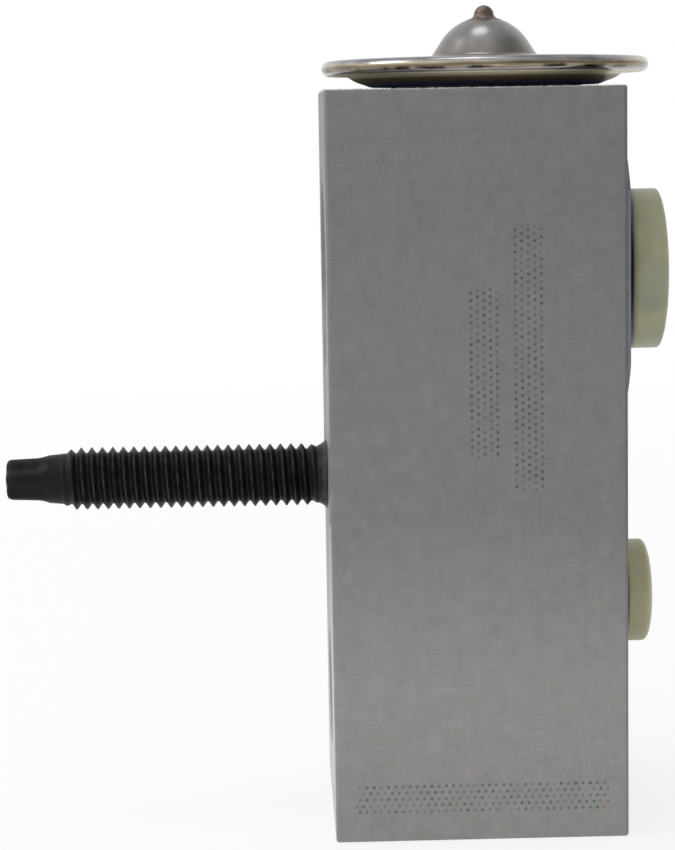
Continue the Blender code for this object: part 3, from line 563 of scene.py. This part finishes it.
def plug_finish():
    """Pale green moulding for both plugs, told apart by their height."""
    f = Finish("plug_moulded")
    x, y, z = f.axes()
    cloud = f.noise(4.5, detail=2.0)
    fine = f.noise(0.5, detail=3.0, seed=8)
    large = f.ramp(z, 0.0, 4.0)
    colour = f.mix(f.ramp(cloud, 0.35, 0.62), (0.305, 0.345, 0.245), (0.465, 0.45, 0.285))
    crown = f.times(f.ramp(x, 3.2, 4.9), large)
    colour = f.mix(f.times(crown, 0.4), colour, (0.4, 0.405, 0.31))
    # the small plug is yellower; a painted shadow, of the block and of the gap under the head, darkens the
    # large one's foot, reaching furthest above and below
    colour = f.mix(f.math("MULTIPLY_ADD", large, -0.75, 0.75), colour, (0.49, 0.45, 0.285))
    painted_shade_spread = f.ramp(f.math("ABSOLUTE", y), 7.3, 1.0, 0.0, 0.6)
    out = f.math("SUBTRACT", x, f.math("ADD", LARGE_PLUG["foot"], painted_shade_spread))
    foot = f.times(large, f.ramp(x, 1.1, 1.3))
    colour = f.mix(f.times(foot, f.ramp(out, 0.25, 0.7, 0.6, 0.0)), colour, (0.2, 0.14, 0.09))
    colour = f.mix(f.times(foot, f.ramp(out, 0.1, 0.34, 0.95, 0.0)), colour, (0.012, 0.012, 0.02))
    f.raise_by(fine, 0.006)
    f.raise_by(cloud, 0.03)
    f.shader.inputs["Subsurface Weight"].default_value = 0.25
    f.shader.inputs["Subsurface Radius"].default_value = (1.0, 1.0, 0.7)
    f.shader.inputs["Subsurface Scale"].default_value = 0.8 * MM
    return f.done(f.scaled(colour, f.ramp(fine, 0.3, 0.7, 0.96, 1.04)), f.ramp(fine, 0.3, 0.7, 0.36, 0.48))


def turned_finish(name, dark, light, low, high, marks=0.09):
    """Bright turned metal with fine tool marks round the valve's axis."""
    f = Finish(name, 1.0)
    x, y, z = f.axes()
    patch = f.noise(1.8, detail=3.0)
    fine = f.noise(0.2, detail=2.0, seed=6)
    colour = f.mix(f.ramp(patch, 0.35, 0.65), dark, light)
    along = f.math("ADD", z, f.radius(x, y, VALVE_X, 0.0))
    f.raise_by(f.ripple(along, marks), 0.003)
    f.raise_by(fine, 0.004)
    return f.done(f.scaled(colour, f.ramp(fine, 0.3, 0.7, 0.95, 1.05)), f.ramp(patch, 0.3, 0.7, low, high))


def rubber_finish():
    f = Finish("seal_oiled")
    fine = f.noise(0.3, detail=3.0)
    colour = f.mix(f.ramp(fine, 0.35, 0.65), (0.012, 0.012, 0.012), (0.022, 0.022, 0.021))
    f.raise_by(fine, 0.008)
    return f.done(colour, f.ramp(fine, 0.3, 0.7, 0.4, 0.6))


# The block


def opening(radius):
    """A bore's first points, from outside the block through its chamfered mouth."""
    return [(0, PAST), (radius + MOUTH + PAST, PAST), (radius, -MOUTH)]


def far_opening(radius, length):
    """The last points of a bore that comes out of the block at its length."""
    return [(radius, MOUTH - length), (radius + MOUTH + PAST, -PAST - length), (0, -PAST - length)]


def valve_axis():
    """The bores from the head down: seal socket, neck, middle, guides, rod, port, seat, spring and screw."""
    level = TOP_Z + PAST
    profile = [(0, level)]
    for radius, foot in (
        (9.7, 35.0), (8.15, 29.15), (5.9, SUCTION_Z), (4.8, 9.1), (2.95, 4.1), (1.35, OUTLET_Z), (1.7, -16.2),
    ):
        profile += [(radius, level), (radius, foot)]
        level = foot
    profile += [(2.5, -17.0), (5.0, -17.0), (5.0, -26.025), (6.15, -26.025)]
    profile += [(6.15, BASE_Z + MOUTH), (6.15 + MOUTH + PAST, BASE_Z - PAST), (0, BASE_Z - PAST)]
    return lathe("axis_bore", profile, (VALVE_X, 0, 0))


def collar(height, radius, lift):
    edge = 0.3
    profile = [(0, lift), (radius - edge, lift)]
    profile += arc((radius - edge, lift - edge), edge, 0, math.pi / 2, 4)[1:]
    return lathe("collar", profile + [(radius, -1), (0, -1)], (0, 0, height), "x")


def block():
    edge = 0.3
    build = cuboid((LINE_X, FRONT_Y, BASE_Z), (0, REAR_Y, TOP_Z))
    upright = [e for e in build.edges if abs(e.verts[0].co.z - e.verts[1].co.z) > 0.01]
    bmesh.ops.bevel(build, geom=upright, offset=edge * MM, segments=4, profile=0.5, affect="EDGES")
    for level, width in ((TOP_Z, 0.14), (BASE_Z, 0.28)):
        rim = [e for e in build.edges if all(abs(v.co.z - level * MM) < 1e-6 for v in e.verts)]
        bmesh.ops.bevel(build, geom=rim, offset=width * MM, segments=3, profile=0.5, affect="EDGES")
    body = from_bmesh("valve_block_body", build)

    pad_profile = [(0, PAD_LIFT), (15.76, PAD_LIFT), (15.8, PAD_LIFT - 0.04), (15.8, -1), (0, -1)]
    pad = lathe("pad", pad_profile, (0, 0, SUCTION_Z), "x", 160)
    limit = cuboid((-2, FRONT_Y + edge, -31), (2, REAR_Y - edge, TOP_Z - edge))
    cut(pad, [from_bmesh("limit", limit)], "INTERSECT")
    collars = [collar(SUCTION_Z, 7.6, SUCTION_LIFT), collar(OUTLET_Z, 5.3, OUTLET_LIFT)]
    cut(body, [pad, *collars], "UNION")

    suction = opening(8.6) + [(8.6, -2.2), (6.5, -2.2)] + far_opening(6.5, SUCTION_LIFT - LINE_X)
    outlet = opening(3.5) + [(3.5, -12.8), (0, -14.9)]
    inlet = opening(5.3) + [(5.3, -2.0), (3.3, -2.0), (3.3, -12.9), (0, -14.88)]
    stud_hole = opening(3.1) + [(3.1, -10.05), (0, -11.9)]
    bolt = opening(3.3) + far_opening(3.3, -LINE_X)
    cut(body, [
        valve_axis(),
        lathe("suction", suction, (LINE_X, 0, SUCTION_Z), "-x"),
        lathe("outlet", outlet, (OUTLET_LIFT, 0, OUTLET_Z), "x"),
        lathe("inlet", inlet, (LINE_X, 0, INLET_Z), "-x"),
        lathe("stud_hole", stud_hole, (LINE_X, 0, 0), "-x"),
        lathe("bolt", bolt, (LINE_X, -9.4, 0), "-x"),
        lathe("bolt", bolt, (LINE_X, 9.4, 0), "-x"),
    ])

    # machined planes are shaded flat, so that no bore's edge draws streaks across them
    shade(body, 33)
    machined = (
        (0, (LINE_X, 0, PAD_LIFT, SUCTION_LIFT, OUTLET_LIFT)), (1, (FRONT_Y, REAR_Y)), (2, (BASE_Z, TOP_Z)),
    )
    for face in body.data.polygons:
        for axis, levels in machined:
            off = min(abs(face.center[axis] / MM - level) for level in levels)
            if abs(face.normal[axis]) > 0.9999 and off < 1e-3:
                face.use_smooth = False
    weighted(body)
    return body


def burr(name, start, end, inward):
    """Fine teeth that the saw left standing along one upper edge of the block."""
    rng = np.random.default_rng(11)
    start, end, inward = Vector(start), Vector(end), Vector(inward)
    count = int((end - start).length / 0.29)
    rings = []
    for i in range(count * 4 + 1):
        point = start.lerp(end, i / (count * 4))
        tooth = (0.0, 0.55, 1.0, 0.45)[i % 4]
        if i % 4 == 0:
            height = float(rng.uniform(0.04, 0.11))
            lean = float(rng.uniform(-0.02, 0.02))
        rise = 0.015 + height * tooth
        rings.append([
            point + inward * 0.015 + Vector((0, 0, -0.22)),
            point + inward * (0.05 + lean * tooth) + Vector((0, 0, rise)),
            point + inward * 0.42 + Vector((0, 0, -0.02)),
        ])
    return grid_mesh(name, rings, sharp=25)


# The head, with heights counted from the rim's middle

DOME_RADIUS = 4.83
DOME_CENTRE = -0.22
DOME_SLOPE = math.radians(57)
HALF_RIM = 0.71
SHEET = 0.55


def cover_face(wall, steps):
    """The upper cover's profile from the charge hole to the rim, a wall's thickness under its outside."""
    hole, foot_z, foot_radius = 1.25, 1.25, 0.6
    radius = DOME_RADIUS - wall
    dome = arc((0, DOME_CENTRE), radius, math.asin(hole / radius), DOME_SLOPE, steps)
    straight = (DOME_CENTRE + DOME_RADIUS * math.cos(DOME_SLOPE) - foot_z) / math.tan(DOME_SLOPE)
    foot_x = DOME_RADIUS * math.sin(DOME_SLOPE) + straight
    centre = (foot_x + foot_radius * math.sin(DOME_SLOPE), foot_z + foot_radius * math.cos(DOME_SLOPE))
    foot = arc(centre, -foot_radius - wall, DOME_SLOPE, 0, steps // 3)
    top = HALF_RIM - wall
    return dome + foot + [(13.2, top + 0.06), (14.2, top + 0.015), (14.6, top)]


def rim_wave(radius, height, angle):
    """The hand of the welder: the rim wanders by a few hundredths."""
    share = max(0.0, min(1.0, (radius - 13.4) / 1.6))
    wave = math.sin(3 * angle + 0.6) + 0.7 * math.sin(7 * angle + 2.1) + 0.5 * math.sin(16 * angle)
    return radius - share * 0.012 * (1.8 + wave * 0.8), height + share * 0.012 * math.sin(5 * angle + 1.0)


def upper_cover():
    bead_radius = 0.7
    bead = arc((14.6, 0), bead_radius, 0, math.pi, 22)
    bead = [(r, h * HALF_RIM / bead_radius) for r, h in bead[1:]]
    profile = cover_face(0, 24) + bead + cover_face(SHEET, 12)[::-1]
    centre = (VALVE_X, 0, RIM_Z)
    return lathe("head_cover", profile, centre, segments=192, closed=True, sharp=50, shift=rim_wave)


def nub():
    """The charge hole's plug with the soft shoulder that its weld left on the dome."""
    profile = arc((0, 4.765), 0.93, 0, math.radians(84), 12)
    profile += [(0.96, 4.74), (1.04, 4.62), (1.18, 4.5), (1.4, 4.42), (1.66, 4.335), (1.72, 4.26)]
    profile += [(1.24, 4.3), (1.15, 4.0), (1.15, 3.9), (0, 3.9)]
    return lathe("charge_nub", profile, (VALVE_X, 0, RIM_Z), segments=64, sharp=60)


def lower_cover():
    """The cover below the rim, down to the neck that sits in the block."""
    under, inside, neck, neck_bore, neck_end = -1.78, -0.16, 8.0, 5.9, -9.08
    profile = [
        (14.5, inside), (14.5, -0.69), (14.2, -0.71), (13.1, -0.73), (12.92, -0.77), (12.75, -0.86),
        (12.5, -1.03), (12.25, -1.18), (12.0, -1.3), (11.7, -1.41), (11.4, -1.51), (11.1, -1.62),
        (10.85, -1.73), (10.6, under),
    ]
    profile += [(neck, under), (neck, neck_end + 0.3), (neck - 0.3, neck_end), (neck_bore, neck_end)]
    profile += [(neck_bore, under + SHEET)]
    profile += s_curve((10.05, under + SHEET), (12.25, inside), 12)
    return lathe("head_shoulder", profile, (VALVE_X, 0, RIM_Z), segments=144, closed=True)


# The stud


def stud():
    """Stud with its rolled M6 thread, tapering run-out and lobed drive, as rings outwards from the block."""
    segments, thread_depth, root, lobes, lobe_depth = 96, 0.52, 0.24, 6, 0.3
    angles = np.arange(segments) * 2 * np.pi / segments
    u, v, w = (np.array(a) for a in AXES["-x"])
    start = np.array((LINE_X, 0, 0))
    core = (
        (-10.0, 2.65), (-9.7, 2.95), (0.04, 2.95), (0.05, 3.3), (0.45, 2.95), (0.95, 2.66), (1.9, 2.45),
        (24.6, 2.44), (25.4, 2.38), (27.0, 2.24), (27.4, 2.19), (30.05, 2.08), (30.35, 1.95), (30.5, 1.62),
    )
    heights, radii = zip(*core)
    stations = [-10.0, -9.7, 0.04, *np.arange(0.05, 27.0, 0.05), *np.arange(27.0, 30.47, 0.07), 30.5]
    rings = []
    for h in stations:
        base = np.interp(h, heights, radii)
        # one turn a millimetre: crest is 1 on the thread's crest and 0 at its root, which is rounded
        crest = np.abs(2 * np.mod(h - 0.41 - angles / (2 * np.pi), 1.0) - 1)
        share = np.clip((crest - 0.08) / 0.84, 0, 1)
        share = np.where(share < root, share * share / (2 * root), share - root / 2) / (1 - root / 2)
        thread = share * thread_depth * np.interp(h, [0.7, 2.0, 24.0, 25.3], [0, 1, 1, 0])
        lobe = 0.5 + 0.5 * np.cos(lobes * (angles + math.radians(80)))
        flute = lobe_depth * (1 - lobe) ** 1.3 * np.interp(h, [26.5, 27.6, 30.5], [0, 1, 1])
        rings.append([
            start + w * h + (u * math.cos(a) + v * math.sin(a)) * r
            for a, r in zip(angles, base + thread - flute)
        ])
    return grid_mesh("threaded_stud", rings, sharp=48)


# Plugs and inner pieces

LARGE_PLUG = {"foot": 1.33, "head": 15.1, "side": 3.1, "crown": 0.6, "port": 13.0}
SMALL_PLUG = {"foot": 1.34, "head": 9.8, "side": 1.54, "crown": 1.0, "port": 7.0}


def transit_plug(name, height, foot, head, side, crown, port):
    """A moulded cap whose head stands before its port, foot mm out, with a hollow shank in the port."""
    radius = head / 2
    shank = port / 2 - 0.15
    rim = foot + side
    top = rim + crown
    bulge = 3.2
    profile = [(0, top - 0.12), (0.5, top - 0.12), (0.62, top - 0.02)]
    for i in range(4, 32):
        share = math.sin(math.pi / 2 * i / 32)
        profile.append((radius * share, rim + crown * (1 - share**bulge) ** (1 / bulge)))
    profile += [(radius, rim), (radius, foot + 0.12), (radius - 0.12, foot), (shank, foot)]
    profile += [(shank, -3.1), (shank - 0.3, -3.4), (shank - 1.1, -3.4), (shank - 1.1, rim - 1.4)]
    profile += [(0, rim - 1.4)]
    return lathe(name, profile, (0, 0, height), "x", segments=128, sharp=40)


def sensing_shaft():
    profile = [
        (0, 36.95), (2.1, 36.95), (2.2, 36.85), (2.2, 35.35), (2.8, 35.35), (2.8, 5.3), (2.5, 5.0),
        (1.35, 5.0), (1.35, 9.0), (0, 9.0),
    ]
    return lathe("sensing_shaft_turned", profile, (VALVE_X, 0, 0), segments=64)


def operating_rod():
    profile = [(0, 8.95), (1.1, 8.95), (1.2, 8.85), (1.2, -15.324), (1.1, -15.424), (0, -15.424)]
    return lathe("operating_rod_ground", profile, (VALVE_X, 0, 0), segments=48)


def valve_ball():
    low, high = (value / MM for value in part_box("valve_ball"))
    profile = arc((0, (low.z + high.z) / 2), 2.25, 0, math.pi, 32)
    profile[0], profile[-1] = (0, high.z), (0, low.z)
    return lathe("valve_ball_polished", profile, (VALVE_X, 0, 0), segments=64, sharp=60)


def adjusting_screw():
    """The screw with its seal's groove and its hexagon socket, whose mouth is turned open."""
    profile = [
        (0, -26.325), (2.6, -26.325), (2.6, -26.825), (5.85, -26.825), (5.85, -27.275), (4.75, -27.275),
        (4.75, -28.575), (5.85, -28.575), (6.0, -28.8), (6.0, -31.2), (5.8, -31.4), (0, -31.4),
    ]
    key = 6.0
    corner = key / 2 / math.cos(math.pi / 6)
    hexagon = [(0, -28.8), (corner, -28.8), (corner, -33), (0, -33)]
    mouth = [(0, -31.0), (corner - 0.25, -31.05), (corner + 0.25, -31.45), (corner + 0.25, -32), (0, -32)]
    screw = lathe("adjusting_screw_turned", profile, (VALVE_X, 0, 0))
    cut(screw, [
        lathe("hexagon", hexagon, (VALVE_X, 0, 0), segments=6, turn=math.pi / 6),
        lathe("mouth", mouth, (VALVE_X, 0, 0)),
    ])
    shade(screw, 33)
    weighted(screw)
    return screw


def coil(name, first, last):
    """Part of the valve spring's wire, between two counts of turns from its foot."""
    steps = int((last - first) * 36)
    rings = []
    for i in range(steps + 1):
        turn = first + (last - first) * i / steps
        closed = min(turn, 1) + max(0, turn - 1 - OPEN_TURNS)
        rise = closed * CLOSED_PITCH + min(max(turn - 1, 0), OPEN_TURNS) * OPEN_PITCH
        angle = 2 * math.pi * turn
        out = Vector((math.cos(angle), math.sin(angle), 0))
        centre = Vector((VALVE_X, 0, SPRING_FOOT_Z + WIRE_RADIUS + rise)) + out * COIL_RADIUS
        rings.append([
            centre + (out * math.cos(a) + Vector((0, 0, 1)) * math.sin(a)) * WIRE_RADIUS
            for a in (2 * math.pi * k / 12 for k in range(12))
        ])
    return grid_mesh(name, rings, sharp=60)


# The pieces, each with its body, finish, slot and CAD node

aluminium = block_finish()
teeth = burr_finish()
steel = head_finish()
spring_steel = turned_finish("spring_bright", (0.42, 0.42, 0.43), (0.5, 0.5, 0.5), 0.2, 0.34)
brass = turned_finish("brass_turned", (0.56, 0.43, 0.19), (0.66, 0.52, 0.25), 0.24, 0.4)
shaft_metal = turned_finish("shaft_turned", (0.56, 0.56, 0.57), (0.64, 0.64, 0.64), 0.26, 0.4, 0.14)
rubber = rubber_finish()
plastic = plug_finish()

dress(block(), "valve_body", aluminium, "satin_aluminium", "valve_block")
for name, start, end, inward in (
    ("burr_front", (-26.7, FRONT_Y), (-0.2, FRONT_Y), (0, 1, 0)),
    ("burr_line", (LINE_X, 13.8), (LINE_X, -13.8), (1, 0, 0)),
    ("burr_rear", (-0.2, REAR_Y), (-26.7, REAR_Y), (0, -1, 0)),
):
    dress(burr(name, (*start, TOP_Z), (*end, TOP_Z), inward), "valve_body", teeth, "satin_aluminium")
dress(upper_cover(), "valve_body", steel, "stainless_sheet", "upper_cover")
dress(nub(), "valve_body", nub_finish(), "dark_steel", "charge_plug")
dress(lower_cover(), "valve_body", steel, "stainless_sheet", "lower_cover")
dress(stud(), "valve_body", stud_finish(), "black_steel", "stud")
dress(transit_plug("suction_plug_moulded", SUCTION_Z, **LARGE_PLUG),
      "large_transit_plug", plastic, "plug_plastic", "suction_plug")
dress(transit_plug("liquid_plug_moulded", OUTLET_Z, **SMALL_PLUG),
      "small_transit_plug", plastic, "plug_plastic", "liquid_plug")
dress(sensing_shaft(), "valve_stem", shaft_metal, "turned_aluminium", "sensing_shaft")
dress(operating_rod(), "valve_stem", spring_steel, "spring_steel", "operating_rod")
dress(valve_ball(), "valve_stem", spring_steel, "spring_steel", "valve_ball")
dress(adjusting_screw(), "adjuster", brass, "brass", "adjusting_screw")
for node, body, finish, slot in (
    ("diaphragm", "valve_body", spring_steel, "spring_steel"),
    ("cover_seal", "valve_body", rubber, "seal_rubber"),
    ("shaft_seal", "valve_body", rubber, "seal_rubber"),
    ("push_nut", "valve_body", spring_steel, "spring_steel"),
    ("stop_plate", "valve_stem", brass, "brass"),
    ("ball_support", "valve_stem", brass, "brass"),
    ("damping_spring", "valve_stem", spring_steel, "spring_steel"),
    ("spring_seat", "spring_carrier", brass, "brass"),
    ("screw_seal", "adjuster", rubber, "seal_rubber"),
):
    dress(smooth_copy(node), body, finish, slot, node)

# The spring is two lengths of wire, split at its middle
middle_z = (SPRING_FOOT_Z + SPRING_TOP_Z) / 2
middle_turn = 1 + (middle_z - SPRING_FOOT_Z - WIRE_RADIUS - CLOSED_PITCH) / OPEN_PITCH
upper = coil("valve_spring_upper", middle_turn, OPEN_TURNS + 2)
dress(upper, "valve_body", spring_steel, "spring_steel", "valve_spring")
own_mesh(upper)
lower = coil("valve_spring_lower", 0, middle_turn)
lower.data.materials.append(spring_steel)
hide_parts("valve_spring")
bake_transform(lower)


# Floor, light and camera


def floor():
    """A pale floor that the camera sees as white with the part's soft shadow on it."""
    half, gap = 900, 0.02
    build = bmesh.new()
    corners = [(-half, -half), (half, -half), (half, half), (-half, half)]
    build.faces.new([build.verts.new(Vector((a, b, BASE_Z - gap)) * MM) for a, b in corners])
    obj = from_bmesh("floor", build)
    f = Finish("floor_pale")
    f.shader.inputs["Specular IOR Level"].default_value = 0.0
    path = f.add("ShaderNodeLightPath").outputs
    seen = f.math("MAXIMUM", path["Is Camera Ray"], path["Is Glossy Ray"])
    # the reach is in metres here: whiter away from the part, where no shadow falls
    white = f.ramp(f.measure("LENGTH", f.place), 0.1, 0.4, 0.8, 1.0)
    blend = f.add("ShaderNodeMixShader")
    f.put(f.times(seen, white), blend.inputs[0])
    f.put(f.shader.outputs[0], blend.inputs[1])
    f.put(f.add("ShaderNodeEmission").outputs[0], blend.inputs[2])
    f.put(blend.outputs[0], f.tree.nodes["Material Output"].inputs["Surface"])
    obj.data.materials.append(f.done((0.86, 0.86, 0.86), 0.9))


def world():
    """A bright studio, white to the camera: darker behind it and to the right, brightest upper left."""
    made = bpy.data.worlds.new("studio")
    bpy.context.scene.world = made
    made.use_nodes = True
    w = Nodes(made.node_tree)
    way = w.add("ShaderNodeTexCoord").outputs["Generated"]

    def zone(direction, near, far, weight):
        """A share that grows from 0 to weight as a ray's way nears a direction."""
        dot = w.measure("DOT_PRODUCT", way, Vector(direction).normalized())
        return w.ramp(dot, far, near, 0.0, weight, smooth=True)

    level = 0.95
    for direction, near, far, weight in (
        ((0.0, -1.0, 0.05), 0.95, 0.5, -0.22),
        ((0.85, -0.5, 0.1), 0.9, 0.3, -0.5),
        ((-0.8, -0.3, 0.45), 0.97, 0.75, 0.2),
        ((0.6, 0.25, 0.72), 0.98, 0.7, -0.22),
    ):
        level = w.math("ADD", level, zone(direction, near, far, weight))
    path = w.add("ShaderNodeLightPath").outputs
    backdrop = w.times(path["Is Glossy Ray"], zone((0, 1, 0), 0.8, 0.3, 1.0))
    seen = w.math("ADD", path["Is Camera Ray"], path["Is Transmission Ray"])
    strength = w.add("ShaderNodeMix")
    w.put(w.math("ADD", seen, backdrop), strength.inputs[0])
    w.put(level, strength.inputs[2])
    w.put(1.0, strength.inputs[3])
    background = w.tree.nodes["Background"]
    w.put((1, 1, 1, 1), background.inputs["Color"])
    w.put(strength.outputs[0], background.inputs["Strength"])


def lamp(name, place, aim, size, power):
    data = bpy.data.lights.new(name, "AREA")
    data.shape = "DISK"
    data.size = size * MM
    data.energy = power
    obj = bpy.data.objects.new(name, data)
    bpy.context.scene.collection.objects.link(obj)
    obj.location = Vector(place) * MM
    obj.rotation_mode = "QUATERNION"
    obj.rotation_quaternion = (Vector(aim) - Vector(place)).to_track_quat("-Z", "Y")
    obj.visible_camera = False


def camera():
    """The camera at the photograph's angle, as fitted to the valve's corners."""
    place = (-31.16, -230.14, 33.76)
    yaw, pitch, roll = (math.radians(a) for a in (1.324, 7.204, -0.965))
    forward = Vector((math.sin(yaw) * math.cos(pitch), math.cos(yaw) * math.cos(pitch), -math.sin(pitch)))
    right = Vector((math.cos(yaw), -math.sin(yaw), 0))
    up = right.cross(forward)
    turned_right = right * math.cos(roll) + up * math.sin(roll)
    turned_up = up * math.cos(roll) - right * math.sin(roll)
    data = bpy.data.cameras.new("camera")
    data.lens = 102.95
    data.sensor_width = 36.0
    data.clip_start = 0.01
    obj = bpy.data.objects.new("camera", data)
    bpy.context.scene.collection.objects.link(obj)
    obj.matrix_world = Matrix((turned_right, turned_up, -forward)).transposed().to_4x4()
    obj.location = Vector(place) * MM
    bpy.context.scene.camera = obj


floor()
world()
lamp("left", (-290, -20, 250), (-13, 0, 10), 150, 0.3)
lamp("top", (-42, 22, 335), (-13, 0, 40), 125, 0.1)
lamp("front_low", (-20, -150, -20), (-13, 0, -30), 70, 0.012)
camera()
bpy.context.scene.view_settings.view_transform = "Standard"
